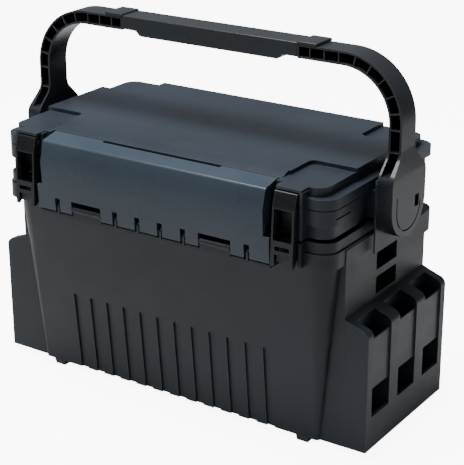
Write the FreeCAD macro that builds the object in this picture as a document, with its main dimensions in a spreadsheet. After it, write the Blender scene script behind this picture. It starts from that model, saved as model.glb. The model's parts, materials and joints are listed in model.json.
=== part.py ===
# Fishing seat box: a moulded case with end pockets, a hinged lid that is the seat,
# a drop-front flap, two latches, a folding carry handle and an inner tray.
# Frame: +Z up, X along the length, -Y the front; origin under the middle, on the ground.

import FreeCAD, Part
import math
import os
import re

import Sketcher
from FreeCAD import Placement, Rotation, Vector

doc = FreeCAD.newDocument("SeatBox")
sheet = doc.addObject("Spreadsheet::Sheet", "sizes")

# Driving dimensions in millimetres, degrees and counts.
driving = {
    # Case shell, drafted on all sides
    "foot_height": 6.0,
    "shell_height": 185.0,
    "shell_top_half": 186.0,
    "shell_top_front": 93.5,
    "shell_top_rear": 104.5,
    "shell_top_round": 22.0,
    "draft_angle": 5.3,
    "wall_thickness": 3.0,
    "store_corner": 12.0,
    # Flat end panels and the end pockets on them
    "panel_step": 5.5,
    "panel_setback": 20.5,
    "panel_rise": 14.0,
    "pocket_reach": 25.5,
    "pocket_drop": 53.8,
    "pocket_slope": 9.2,
    "pocket_shoulder": 8.0,
    "pocket_pitch": 51.5,
    "pocket_width": 34.0,
    "pocket_inner_wall": 7.0,
    "pocket_outer_wall": 3.5,
    "pocket_recess": 1.8,
    "window_rise": 34.0,
    "window_height": 28.0,
    "mouth_drop": 18.2,
    # Hanger slots in the end panels
    "slot_width": 40.0,
    "slot_height": 17.5,
    "slot_rise": 4.3,
    "slot_bar": 7.0,
    "slot_depth": 14.0,
    # Rim of the case, outlined by the lid's bead
    "bead_step": 3.0,
    "bead_front_step": 6.0,
    "bead_round": 16.5,
    "rim_height": 26.0,
    "rim_band": 15.5,
    "rim_swell": 1.5,
    "groove_height": 1.0,
    "groove_inset": 1.4,
    "rim_wall_inset": 5.0,
    "rear_lip": 2.0,
    "flange_step": 2.0,
    "rear_flange_height": 22.0,
    "parting_gap": 3.0,
    "step_place": 36.0,
    "step_gap": 1.0,
    # Lid: skirt, bead, corner plates and raised seat
    "skirt_height": 38.0,
    "skirt_band": 12.0,
    "bead_band": 10.0,
    "lower_band_inset": 3.0,
    "skirt_inset": 5.0,
    "skirt_wall": 2.5,
    "hub_bay": 42.5,
    "band_slot_length": 26.0,
    "band_slot_height": 1.6,
    "plate_inset": 9.5,
    "plate_front_inset": 4.5,
    "plate_rear_inset": 7.0,
    "plate_round": 13.0,
    "plate_rise": 9.0,
    "seat_rise": 4.1,
    "seat_inset": 8.0,
    "seat_front_inset": 23.0,
    "seat_notch": 47.0,
    "seat_notch_front": 38.0,
    "seat_notch_rear": 49.0,
    "seat_notch_round": 7.0,
    "apron_inset": 11.4,
    # Latch towers on the lid
    "tower_inset": 58.0,
    "tower_width": 33.0,
    "tower_reach": 8.0,
    "tower_plate": 2.6,
    "cheek_thickness": 2.3,
    "guard_rise": 3.0,
    "guard_width": 3.2,
    # Latches
    "latch_margin": 7.0,
    "latch_width": 23.0,
    "latch_gap": 0.8,
    "latch_reach": 17.0,
    "latch_knee_reach": 14.0,
    "latch_knee_rise": 55.0,
    "latch_length": 64.3,
    "latch_wall": 2.2,
    "latch_pivot_reach": 6.1,
    "latch_barrel": 5.0,
    "latch_drop": 1.1,
    "latch_pin": 1.6,
    "latch_depth": 15.0,
    "latch_shell": 1.1,
    "latch_clearance": 0.5,
    "latch_window_low": 23.6,
    "latch_window_high": 53.5,
    "latch_slot_low": 14.8,
    "latch_slot_high": 19.1,
    "hook_high": 11.3,
    "catch_width": 13.0,
    "catch_gap": 0.6,
    # Front flap
    "flap_end_gap": 2.5,
    "flap_foot_step": 6.3,
    "flap_foot_height": 25.0,
    "flap_face_reach": 13.1,
    "flap_belly_reach": 15.4,
    "flap_belly_height": 49.0,
    "flap_shoulder_reach": 10.4,
    "flap_shoulder_height": 69.6,
    "flap_wall": 2.6,
    "flap_axis_back": 3.1,
    "flap_axis_rise": 7.4,
    "flap_edge_gap": 2.2,
    "flap_seam": 1.2,
    "hinge_slot_height": 13.6,
    "short_slot": 6.0,
    "clip_width": 2.2,
    "long_slot": 36.0,
    "long_slot_share": 0.585,
    "first_slot_share": 0.103,
    "second_slot_share": 0.31,
    "third_slot_share": 0.86,
    "barrel_radius": 3.1,
    "barrel_swell": 0.5,
    "flap_pin": 1.5,
    "pin_clearance": 0.05,
    "finger_recess_share": 0.53,
    "finger_recess_depth": 3.0,
    "sill_thickness": 3.0,
    "sill_rise": 1.0,
    # Grip grooves in the front face
    "groove_count": 12,
    "groove_pitch": 20.9,
    "groove_width": 8.8,
    "groove_top": 92.5,
    "groove_depth": 2.0,
    # Rear hinge
    "rear_axis_offset": 3.5,
    "rear_barrel": 5.5,
    "rear_pin": 2.0,
    "rear_knuckle": 22.0,
    "rear_knuckle_gap": 0.6,
    "rear_hinge_inset": 85.0,
    # Handle
    "pivot_rise": 14.0,
    "arm_gap": 7.0,
    "arm_thickness": 13.2,
    "arm_half_depth": 13.75,
    "bend_radius": 62.5,
    "handle_rise": 135.4,
    "arm_wall": 2.0,
    "arm_back": 2.6,
    "rib_thickness": 1.2,
    "hub_radius": 32.8,
    "flare_rise": 28.0,
    "flare_height": 19.0,
    "hub_swell": 2.9,
    "hub_groove_half": 24.0,
    "hub_groove_width": 1.6,
    "hub_groove_depth": 1.4,
    "hub_groove_drop": 27.7,
    "hub_hole_depth": 4.0,
    "hub_hole_place": 12.3,
    "pivot_radius": 6.0,
    "grip_gap": 48.0,
    "grip_rise": 1.6,
    "grip_drop": 1.0,
    "grip_belly": 5.0,
    "belly_inset": 21.2,
    "tongue_length": 18.0,
    "clip_length": 21.0,
    "clip_rise": 3.0,
    # Handle brackets on the lid ends
    "bracket_half": 31.0,
    "bracket_gap": 0.5,
    "bracket_plate": 2.8,
    "plate_half_width": 24.0,
    "fin_thickness": 1.8,
    "fin_inner": 20.0,
    "fin_reach": 5.6,
    "fin_length": 68.4,
    "boss_radius": 14.0,
    "hub_gap": 0.5,
    # Inner tray
    "tray_inset": 14.0,
    "tray_front_inset": 13.5,
    "tray_rear_inset": 12.5,
    "tray_depth": 46.0,
    "tray_wall": 1.8,
    "tray_rim": 4.0,
    "tray_round": 10.0,
    "tray_rise": 5.0,
    "rail_thickness": 3.0,
    "rail_gap": 0.6,
    "rail_half": 55.0,
    "divider_thickness": 1.6,
    # Feet
    "foot_length": 14.0,
    "foot_width": 13.0,
    "foot_inset": 36.0,
    "foot_setback": 0.3,
    # Bracket screws
    "screw_radius": 2.0,
    "screw_head": 3.4,
    "head_height": 1.0,
    "screw_spread": 16.0,
    "screw_rise": 11.0,
}

# Places and levels that follow from the driving dimensions.
derived = {
    "shell_top": "foot_height + shell_height",
    "draft_run": "shell_height * tan(draft_angle)",
    "shell_foot_half": "shell_top_half - draft_run",
    "shell_foot_front": "shell_top_front - draft_run",
    "shell_foot_rear": "shell_top_rear - draft_run",
    "panel_half": "shell_top_half + panel_step",
    "panel_front": "shell_top_front - panel_setback",
    "panel_rear": "shell_top_rear - panel_setback",
    "panel_top": "shell_top + panel_rise",
    "pocket_face": "panel_half + pocket_reach",
    "pocket_middle": "(panel_rear - panel_front) / 2",
    "pocket_top": "shell_top - pocket_drop",
    "mouth_low": "pocket_top - mouth_drop",
    "window_foot": "foot_height + window_rise",
    "slot_low": "pocket_top + slot_rise",
    "bead_half": "shell_top_half + bead_step",
    "bead_front": "shell_top_front + bead_front_step",
    "bead_rear": "shell_top_rear + bead_step",
    "rim_top": "shell_top + rim_height",
    "rear_top": "shell_top + rear_lip",
    "lid_low": "rim_top + parting_gap",
    "lid_rear_low": "rear_top + parting_gap",
    "ledge_top": "lid_low + skirt_height",
    "plate_top": "ledge_top + plate_rise",
    "seat_top": "plate_top + seat_rise",
    "skirt_wall_inset": "skirt_inset + skirt_wall",
    "plate_half": "bead_half - plate_inset",
    "plate_front": "bead_front - plate_front_inset",
    "plate_rear": "bead_rear - plate_rear_inset",
    "seat_half": "bead_half - seat_inset",
    "seat_front": "bead_front - seat_front_inset",
    "seat_rear": "bead_rear - seat_inset",
    "seat_neck": "seat_half - seat_notch",
    "seat_wing_front": "seat_front - seat_notch_front",
    "seat_wing_rear": "seat_rear - seat_notch_rear",
    "apron_front": "bead_front - apron_inset",
    "tower_inner": "bead_half - tower_inset",
    "tower_outer": "tower_inner + tower_width",
    "tower_front": "bead_front + tower_reach",
    "latch_inner": "tower_inner + latch_margin",
    "latch_outer": "latch_inner + latch_width",
    "latch_front": "bead_front + latch_reach",
    "latch_knee_front": "bead_front + latch_knee_reach",
    "latch_pivot_back": "bead_front + latch_pivot_reach",
    "latch_axis_z": "plate_top - tower_plate - latch_barrel - latch_drop",
    "latch_low": "latch_axis_z - latch_length",
    "latch_knee": "latch_low + latch_knee_rise",
    "latch_middle": "(latch_inner + latch_outer) / 2",
    "flap_half": "tower_inner - flap_end_gap",
    "flap_foot_half": "flap_half + flap_foot_step",
    "flap_face": "bead_front + flap_face_reach",
    "flap_belly": "bead_front + flap_belly_reach",
    "flap_shoulder": "bead_front + flap_shoulder_reach",
    "flap_axis_y": "flap_axis_back - flap_face",
    "flap_axis_z": "shell_top + flap_axis_rise",
    "flap_edge": "shell_top + flap_edge_gap",
    "long_slot_place": "flap_half * long_slot_share",
    "short_slot_first": "flap_half * first_slot_share",
    "short_slot_second": "flap_half * second_slot_share",
    "short_slot_third": "flap_half * third_slot_share",
    "finger_recess_half": "flap_half * finger_recess_share",
    "sill_top": "shell_top + sill_rise",
    "rear_axis_y": "bead_rear + rear_axis_offset",
    "rear_axis_z": "rear_top + parting_gap / 2",
    "rear_hinge_place": "bead_half - rear_hinge_inset",
    "pivot_height": "lid_low + pivot_rise",
    "bracket_face": "panel_half + bracket_gap",
    "block_back": "bead_half - skirt_inset",
    "arm_inner": "panel_half + arm_gap",
    "arm_outer": "arm_inner + arm_thickness",
    "handle_top": "pivot_height + handle_rise",
    "bend_centre_x": "arm_outer - bend_radius",
    "bend_centre_z": "handle_top - bend_radius",
    "flare_low": "pivot_height + flare_rise",
    "flare_high": "flare_low + flare_height",
    "grip_half": "bend_centre_x - grip_gap",
    "grip_belly_half": "grip_half - belly_inset",
    "tray_seat": "shell_top + tray_rise",
    "tray_floor": "tray_seat - tray_depth",
    "tray_half": "shell_top_half - tray_inset",
    "tray_front": "shell_top_front - tray_front_inset",
    "tray_rear": "shell_top_rear - tray_rear_inset",
    "tray_cell": "tray_half / 2",
    "foot_place": "shell_top_half - foot_inset",
}

for row, (alias, content) in enumerate({**driving, **derived}.items(), 1):
    sheet.set(f"A{row}", alias)
    sheet.set(f"B{row}", f"={content}" if alias in derived else str(content))
    sheet.setAlias(f"B{row}", alias)
doc.recompute()


def linked(text):
    """The expression with every named size read from the sheet."""
    return re.sub(r"\b([a-z]+(?:_[a-z]+)+)\b", r"sizes.\1", str(text))


def value(text):
    """The number that an expression of named sizes gives now."""
    return float(sheet.evalExpression(linked(text)))


def body(name):
    """An empty body for one sub-part."""
    return doc.addObject("PartDesign::Body", name)


def drawing(owner, plane, offset, name):
    """A sketch on one of the body's own origin planes, moved along its normal."""
    base = next(p for p in owner.Origin.OriginFeatures if p.Role == f"{plane}_Plane")
    sketch = owner.newObject("Sketcher::SketchObject", name)
    sketch.AttachmentSupport = [(base, "")]
    sketch.MapMode = "FlatFace"
    sketch.setExpression("AttachmentOffset.Base.z", linked(offset))
    return sketch


def add_rules(sketch, rules):
    """Adds constraints (kind, arguments[, expression]) and binds the driven ones."""
    count = sketch.ConstraintCount
    sketch.addConstraint([Sketcher.Constraint(rule[0], *rule[1]) for rule in rules])
    for index, rule in enumerate(rules, count):
        if len(rule) > 2:
            sketch.setExpression(f"Constraints[{index}]", linked(rule[2]))


def fixed_point(shape, end, x, y):
    """Two dimensions that tie a point to the sketch's origin."""
    return [("DistanceX", (-1, 1, shape, end, value(x)), x),
            ("DistanceY", (-1, 1, shape, end, value(y)), y)]


def rounded_corner(before, here, after, radius):
    """Ends of the tangent arc in a corner, the arc and which of its ends comes first."""
    back = (before - here).normalize()
    ahead = (after - here).normalize()
    half_angle = back.getAngle(ahead) / 2
    cut = radius / math.tan(half_angle)
    enter = here + back * cut
    leave = here + ahead * cut
    middle_line = (back + ahead).normalize()
    middle = here + middle_line * (radius / math.sin(half_angle) - radius)
    if ahead.cross(back).z > 0:
        return enter, leave, Part.Arc(enter, middle, leave), 1
    return enter, leave, Part.Arc(leave, middle, enter), 2


def polygon(sketch, corners):
    """A closed outline of straight lines; a third entry rounds that corner."""
    points = [Vector(value(c[0]), value(c[1]), 0) for c in corners]
    count = len(points)
    rounded = any(len(c) > 2 for c in corners)
    frame = sketch.GeometryCount
    sketch.addGeometry([Part.LineSegment(points[i], points[(i + 1) % count])
                        for i in range(count)], rounded)
    rules = []
    for i, corner in enumerate(corners):
        rules.append(("Coincident", (frame + (i - 1) % count, 2, frame + i, 1)))
        rules += fixed_point(frame + i, 1, corner[0], corner[1])
    if rounded:
        side = frame + count
        arc = side + count
        starts, ends, arcs = [], [], []
        for i, corner in enumerate(corners):
            before, after = side + (i - 1) % count, side + i
            if len(corner) < 3:
                starts.append(points[i])
                ends.append(points[i])
                rules.append(("Coincident", (before, 2, frame + i, 1)))
                rules.append(("Coincident", (after, 1, frame + i, 1)))
                continue
            enter, leave, curve, first = rounded_corner(
                points[i - 1], points[i], points[(i + 1) % count], value(corner[2]))
            ends.append(enter)
            starts.append(leave)
            rules.append(("Tangent", (before, 2, arc + len(arcs), first)))
            rules.append(("Tangent", (arc + len(arcs), 3 - first, after, 1)))
            rules.append(("PointOnObject", (before, 2, frame + (i - 1) % count)))
            rules.append(("PointOnObject", (after, 1, frame + i)))
            rules.append(("Radius", (arc + len(arcs), value(corner[2])), corner[2]))
            arcs.append(curve)
        sides = [Part.LineSegment(starts[i], ends[(i + 1) % count]) for i in range(count)]
        sketch.addGeometry(sides + arcs, False)
    add_rules(sketch, rules)


def circle(sketch, x, y, radius):
    """A dimensioned circle."""
    shape = sketch.GeometryCount
    centre = Vector(value(x), value(y), 0)
    sketch.addGeometry(Part.Circle(centre, Vector(0, 0, 1), value(radius)), False)
    add_rules(sketch, fixed_point(shape, 3, x, y) + [("Radius", (shape, value(radius)), radius)])


def draw(sketch, loops):
    """Each loop is a circle (x, y, radius) or a list of corners."""
    for loop in loops:
        if isinstance(loop, tuple):
            circle(sketch, *loop)
        else:
            polygon(sketch, loop)


def pad(owner, name, plane, low, high, *loops):
    """Adds material between two places along the plane's normal."""
    start = f"-({high})" if plane == "XZ" else low
    sketch = drawing(owner, plane, start, f"{name}_sketch")
    draw(sketch, loops)
    feature = owner.newObject("PartDesign::Pad", name)
    feature.Profile = sketch
    feature.setExpression("Length", linked(f"({high}) - ({low})"))
    return feature


def pocket(owner, name, plane, low, high, *loops):
    """Removes material between two places along the plane's normal."""
    start = f"-({low})" if plane == "XZ" else high
    sketch = drawing(owner, plane, start, f"{name}_sketch")
    draw(sketch, loops)
    feature = owner.newObject("PartDesign::Pocket", name)
    feature.Profile = sketch
    feature.setExpression("Length", linked(f"({high}) - ({low})"))
    return feature


def loft(owner, kind, name, sections):
    """A loft through outlines at given heights; kind is Additive or Subtractive."""
    sketches = []
    for number, (height, outline) in enumerate(sections):
        sketch = drawing(owner, "XY", height, f"{name}_section_{number}")
        polygon(sketch, outline)
        sketches.append(sketch)
    feature = owner.newObject(f"PartDesign::{kind}Loft", name)
    feature.Profile = sketches[0]
    feature.Sections = sketches[1:]
    feature.Ruled = True
    return feature


def oblong(half, front, rear, rounding):
    """A rounded rectangle, symmetric about the middle plane."""
    return [
        (f"-({half})", f"-({front})", rounding),
        (half, f"-({front})", rounding),
        (half, rear, rounding),
        (f"-({half})", rear, rounding),
    ]


def bead(inset):
    """The lid's bead outline, drawn in by an inset."""
    return oblong(f"bead_half - ({inset})", f"bead_front - ({inset})",
                  f"bead_rear - ({inset})", f"bead_round - ({inset})")


def block(low_u, high_u, low_v, high_v):
    """A plain rectangle."""
    return [(low_u, low_v), (high_u, low_v), (high_u, high_v), (low_u, high_v)]


def both_sides(low, high, low_v, high_v):
    """The same rectangle at +X and at -X."""
    return [block(low, high, low_v, high_v), block(f"-({high})", f"-({low})", low_v, high_v)]


pieces = {}


def finish(name, shape_object):
    """Labels a finished sub-part with the name of its file."""
    shape_object.Label = name
    pieces[name] = shape_object


def span(side, inner, outer):
    """A stretch along X on the right (1) or its mirror image on the left (-1)."""
    return (inner, outer) if side > 0 else (f"-({outer})", f"-({inner})")


def drafted(owner, name, low, high, outline):
    """A block that narrows downwards by the draft angle on every side."""
    column = pad(owner, name, "XY", low, high, outline)
    doc.recompute()
    faces = list(enumerate(column.Shape.Faces, 1))
    draft = owner.newObject("PartDesign::Draft", f"{name}_draft")
    draft.Base = (column, [f"Face{n}" for n, face in faces if abs(face.normalAt(0, 0).z) < 0.5])
    draft.NeutralPlane = (column, [f"Face{n}" for n, face in faces
                                   if face.normalAt(0, 0).z > 0.5])
    draft.Reversed = True
    draft.setExpression("Angle", linked("draft_angle"))


def clipped(half, front, rear, cut):
    """A rectangle with its corners cut off."""
    return [
        (f"-({half})", f"-({front}) + {cut}"), (f"-({half}) + {cut}", f"-({front})"),
        (f"{half} - {cut}", f"-({front})"), (half, f"-({front}) + {cut}"),
        (half, f"{rear} - {cut}"), (f"{half} - {cut}", rear),
        (f"-({half}) + {cut}", rear), (f"-({half})", f"{rear} - {cut}"),
    ]


def fused(name, *parts):
    """One solid out of several bodies."""
    union = doc.addObject("Part::MultiFuse", name)
    union.Shapes = list(parts)
    return union


def cut(name, base, tool):
    """The base without the room taken by the tool."""
    rest = doc.addObject("Part::Cut", name)
    rest.Base = base
    rest.Tool = tool
    return rest


side_names = {1: "right", -1: "left"}

# Outside of the case: drafted shell, end panels, rear flange and hinge sill.
shell = body("Case_outside")
drafted(shell, "shell", "foot_height", "shell_top",
        oblong("shell_top_half", "shell_top_front", "shell_top_rear", "shell_top_round"))
pad(shell, "end_panels", "XY", "foot_height", "shell_top",
    block("-panel_half", "panel_half", "-panel_front", "panel_rear"))
pad(shell, "rear_flange", "XY", "rear_top - rear_flange_height", "shell_top",
    [("-bead_half - flange_step", "step_place"), ("bead_half + flange_step", "step_place"),
     ("bead_half + flange_step", "bead_rear", "bead_round"),
     ("-bead_half - flange_step", "bead_rear", "bead_round")])
pad(shell, "hinge_sill", "XY", "shell_top - sill_thickness", "shell_top",
    block("-flap_foot_half", "flap_foot_half", "-flap_face + 2", "-shell_top_front + 2"))
pocket(shell, "lid_knuckle_relief", "XZ", "rear_axis_y - rear_barrel - rear_knuckle_gap",
       "rear_axis_y + rear_barrel", *[
           block(f"{sign} * rear_hinge_place - rear_knuckle / 2",
                 f"{sign} * rear_hinge_place + rear_knuckle / 2",
                 "rear_axis_z - rear_barrel - rear_knuckle_gap", "rear_top + 1")
           for sign in (1, -1)])

# Upright grooves in the drafted front face, one cut repeated along the length.
groove_front = "(shell_top_front - (shell_top - groove_top) * tan(draft_angle))"
first_groove = "-(groove_count - 1) * groove_pitch / 2 - groove_width / 2"
groove_cut = pocket(shell, "grip_groove", "YZ", first_groove, f"{first_groove} + groove_width", [
    ("-shell_foot_front + groove_depth", "foot_height - 1"),
    ("-shell_foot_front - 5", "foot_height - 1"),
    (f"-{groove_front} - 5", "groove_top"),
    (f"-{groove_front} + groove_depth", "groove_top"),
])
grooves = shell.newObject("PartDesign::LinearPattern", "grip_grooves")
grooves.Originals = [groove_cut]
grooves.Direction = (groove_cut.Profile[0], ["N_Axis"])
grooves.setExpression("Length", linked("(groove_count - 1) * groove_pitch"))
grooves.setExpression("Occurrences", linked("groove_count"))
shell.Tip = grooves

# Store inside the case, and the hanger slots that reach into it through the panels.
store = body("Case_inside")
drafted(store, "store", "foot_height + wall_thickness", "shell_top",
        clipped("shell_top_half - wall_thickness", "shell_top_front - wall_thickness",
                "shell_top_rear - wall_thickness", "store_corner"))
pad(store, "panel_hollow", "XY", "foot_height + wall_thickness", "shell_top",
    block("-panel_half + wall_thickness", "panel_half - wall_thickness",
          "-panel_front + wall_thickness", "panel_rear - wall_thickness"))
housings = body("Slot_housings")
pad(housings, "slot_boxes", "XY", "slot_low - wall_thickness",
    "slot_low + 2 * slot_height + slot_bar + wall_thickness",
    *both_sides("panel_half - slot_depth - wall_thickness", "panel_half",
                "pocket_middle - slot_width / 2 - wall_thickness",
                "pocket_middle + slot_width / 2 + wall_thickness"))
slots = body("Slot_space")
for word, level in (("lower", "slot_low"), ("upper", "slot_low + slot_height + slot_bar")):
    pad(slots, f"{word}_hanger_slots", "XY", level, f"{level} + slot_height",
        *both_sides("panel_half - slot_depth", "panel_half + 1",
                    "pocket_middle - slot_width / 2", "pocket_middle + slot_width / 2"))

# Rim of the case: two bands, lower behind the hubs, open in front for the flap.
rim = body("Rim")
pad(rim, "panel_tops", "XY", "shell_top", "panel_top",
    block("-panel_half", "panel_half", "-panel_front", "panel_rear"))
pad(rim, "rim_lower_band", "XY", "shell_top", "shell_top + rim_band", bead("-rim_swell"))
pad(rim, "rim_wall", "XY", "shell_top", "rim_top", bead("groove_inset"))
pad(rim, "rim_upper_band", "XY", "shell_top + rim_band + groove_height", "rim_top", bead("0"))
pad(rim, "rear_lip", "XY", "shell_top", "rear_top",
    [("-bead_half - flange_step", "step_place"), ("bead_half + flange_step", "step_place"),
     ("bead_half + flange_step", "bead_rear", "bead_round"),
     ("-bead_half - flange_step", "bead_rear", "bead_round")])
pocket(rim, "rear_step", "XY", "rear_top", "rim_top",
       block("-panel_half - 5", "panel_half + 5", "step_place - step_gap", "bead_rear + 5"))
pocket(rim, "hub_bay_relief", "XY", "panel_top", "rim_top",
       *both_sides("bead_half - groove_inset", "panel_half + 5", "-bracket_half - 1.5",
                   "step_place"))
pocket(rim, "front_opening", "XY", "shell_top", "rim_top",
       block("-tower_inner - 4.4", "tower_inner + 4.4", "-bead_front - 5", "-bead_front + 9"))
pocket(rim, "rim_hollow", "XY", "shell_top", "rim_top", bead("rim_wall_inset"))
pad(rim, "tray_rails", "XY", "tray_seat - rail_thickness", "tray_seat",
    *both_sides("tray_half + rail_gap", "bead_half - rim_wall_inset + 1",
                "-rail_half", "rail_half"))
pad(rim, "latch_guards", "XY", "shell_top + guard_rise", "rim_top",
    *both_sides("latch_outer + latch_gap", "latch_outer + latch_gap + guard_width",
                "-tower_front - 1", "-bead_front + 1"))
for side in (-1, 1):
    pad(rim, f"latch_catch_{side + 1}", "YZ", f"{side} * latch_middle - catch_width / 2",
        f"{side} * latch_middle + catch_width / 2", [
            ("-bead_front", "shell_top + 3"),
            ("-latch_front + latch_wall + catch_gap", "shell_top + 8"),
            ("-latch_front + latch_wall + catch_gap", "shell_top + 13"),
            ("-bead_front", "shell_top + 13.5")])
pocket(rim, "knuckle_relief", "XZ", "rear_axis_y - rear_barrel - 2", "rear_axis_y + rear_barrel",
       *[block(f"{sign} * rear_hinge_place - 3 * rear_knuckle / 2",
               f"{sign} * rear_hinge_place + 3 * rear_knuckle / 2",
               "shell_top - 1", "rear_top + 1") for sign in (1, -1)])
finish("case_rim", rim)

# Hinge of the flap on the case: clips at the short slots, barrels at the long ones.
clip_spots = [f"{sign} * short_slot_{word}" for sign in (1, -1)
              for word in ("first", "second", "third")]
clips = body("Flap_clips")
pad(clips, "clip_rail", "YZ", "-short_slot_third - clip_width / 2",
    "short_slot_third + clip_width / 2", [
        ("flap_axis_y - barrel_radius + 0.6", "shell_top - 1"),
        ("flap_axis_y + barrel_radius + 1", "shell_top - 1"),
        ("flap_axis_y + barrel_radius - 0.4", "flap_axis_z + barrel_radius", 2),
        ("flap_axis_y - 1", "flap_axis_z + barrel_radius", 1),
        ("flap_axis_y - 1", "flap_axis_z"),
        ("flap_axis_y - barrel_radius + 0.6", "flap_axis_z"),
    ])
edges = ["-short_slot_third", "-short_slot_second", "-short_slot_first",
         "short_slot_first", "short_slot_second", "short_slot_third"]
pocket(clips, "clip_gaps", "XY", "shell_top - 2", "flap_axis_z + 2 * barrel_radius", *[
    block(f"{low} + clip_width / 2", f"{high} - clip_width / 2",
          "flap_axis_y - 2 * barrel_radius", "flap_axis_y + 2 * barrel_radius")
    for low, high in zip(edges, edges[1:])])
pocket(clips, "clip_bore", "YZ", "-flap_foot_half", "flap_foot_half",
       ("flap_axis_y", "flap_axis_z", "flap_pin + pin_clearance"))
barrels = body("Flap_barrels")
barrel_reach = "(long_slot_place + long_slot / 2 - 1)"
barrel_start = "(long_slot_place - long_slot / 2 + 1)"
pad(barrels, "barrel_bar", "YZ", f"-{barrel_reach}", barrel_reach, [
    ("flap_axis_y - barrel_radius + 1", "shell_top - 1"),
    ("flap_axis_y + barrel_radius", "shell_top - 1"),
    ("flap_axis_y + barrel_radius", "flap_axis_z + barrel_radius", "barrel_radius - 0.2"),
    ("flap_axis_y - barrel_radius - barrel_swell", "flap_axis_z + barrel_radius", "barrel_radius - 0.2"),
    ("flap_axis_y - barrel_radius - barrel_swell", "flap_axis_z - barrel_radius + 0.6",
     "barrel_radius / 2"),
    ("flap_axis_y - barrel_radius + 1", "flap_axis_z - barrel_radius + 0.6"),
])
pocket(barrels, "barrel_gap", "XY", "shell_top - 2", "flap_axis_z + 2 * barrel_radius",
       block(f"-{barrel_start}", barrel_start, "flap_axis_y - 2 * barrel_radius",
             "flap_axis_y + 2 * barrel_radius"))
pocket(barrels, "barrel_bore", "YZ", f"-{barrel_reach} - 1", f"{barrel_reach} + 1",
       ("flap_axis_y", "flap_axis_z", "flap_pin + pin_clearance"))


def knuckle_outline(foot):
    """Barrel of the rear hinge, joined at its foot to the case (-1) or the lid (1)."""
    return [
        (f"rear_axis_y - rear_barrel - {2.5 + foot}", f"rear_axis_z + {foot} * (rear_barrel + 5)"),
        (f"rear_axis_y - 1", f"rear_axis_z + {foot} * (rear_barrel + 5)"),
        (f"rear_axis_y + rear_barrel", f"rear_axis_z + {foot} * 2", 2),
        (f"rear_axis_y + rear_barrel", f"rear_axis_z - {foot} * rear_barrel", "rear_barrel - 0.4"),
        (f"rear_axis_y - rear_barrel", f"rear_axis_z - {foot} * rear_barrel", "rear_barrel - 0.4"),
    ]


# Rear hinge: the case has the two outer knuckles of each group of three.
rear_knuckles = body("Case_knuckles")
pad(rear_knuckles, "case_knuckles", "YZ", "-rear_hinge_place - 3 * rear_knuckle / 2",
    "rear_hinge_place + 3 * rear_knuckle / 2", knuckle_outline(-1))
near = "(rear_hinge_place - rear_knuckle / 2 - rear_knuckle_gap / 2)"
far = "(rear_hinge_place + rear_knuckle / 2 + rear_knuckle_gap / 2)"
inner_end = "(rear_hinge_place - 3 * rear_knuckle / 2)"
pocket(rear_knuckles, "knuckle_gaps", "XY", "rear_axis_z - 3 * rear_barrel",
       "rear_axis_z + 2 * rear_barrel",
       *[block(low, high, "bead_rear - 5", "bead_rear + 15")
         for low, high in ((near, far), (f"-{far}", f"-{near}"),
                           (f"-{inner_end}", inner_end))])
pocket(rear_knuckles, "rear_pin_bore", "YZ", "-rear_hinge_place - 2 * rear_knuckle",
       "rear_hinge_place + 2 * rear_knuckle",
       ("rear_axis_y", "rear_axis_z", "rear_pin + pin_clearance"))


walled = fused("Walled_case", cut("Hollow_case", shell, store), housings)
finish("body_case", fused("Whole_case", cut("Slotted_case", walled, slots), clips, barrels,
                          rear_knuckles))

# End pockets: three open tubes on each end, with windows low in the outer wall.
for side, word in side_names.items():
    rack = body(f"{word}_rack")
    pad(rack, f"{word}_rack_block", "XZ", "-panel_front", "panel_rear", [
        (f"{side} * panel_half", "foot_height"),
        (f"{side} * pocket_face", "foot_height"),
        (f"{side} * pocket_face", "pocket_top - pocket_slope",
         "pocket_shoulder"),
        (f"{side} * panel_half", "pocket_top"),
    ])
    tubes = [(f"pocket_middle + {step} * pocket_pitch - pocket_width / 2",
              f"pocket_middle + {step} * pocket_pitch + pocket_width / 2")
             for step in (-1, 0, 1)]
    pocket(rack, f"{word}_tubes", "YZ",
           *span(side, "panel_half + pocket_inner_wall", "pocket_face - pocket_outer_wall"),
           *[block(low, high, "foot_height + wall_thickness",
                   "pocket_top + 1") for low, high in tubes])
    pocket(rack, f"{word}_mouths", "YZ",
           *span(side, "pocket_face - pocket_outer_wall - 1", "pocket_face + 1"),
           *[block(low, high, "mouth_low", "pocket_top + 1")
             for low, high in tubes])
    pocket(rack, f"{word}_panels", "YZ",
           *span(side, "pocket_face - pocket_recess", "pocket_face + 1"),
           *[block(low, high, "window_foot + window_height - 1", "mouth_low + 1") for low, high in tubes])
    pocket(rack, f"{word}_windows", "YZ",
           *span(side, "pocket_face - pocket_outer_wall - 1", "pocket_face + 1"),
           *[block(low, high, "window_foot", "window_foot + window_height") for low, high in tubes])
    finish(f"{word}_end_pockets", rack)

# Feet under the case corners.
for word, place in (("front", "-shell_foot_front + foot_setback"),
                    ("rear", "shell_foot_rear - foot_setback - foot_width")):
    feet = body(f"{word}_feet_body")
    for side, name in side_names.items():
        low, high = span(side, "foot_place - foot_length / 2", "foot_place + foot_length / 2")
        loft(feet, "Additive", f"{word}_{name}_foot", [
            ("0", block(f"{low} + 1", f"{high} - 1", f"{place} + 1",
                        f"{place} + foot_width - 1")),
            ("foot_height", block(low, high, place, f"{place} + foot_width")),
        ])
    finish(f"{word}_feet", feet)

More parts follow.
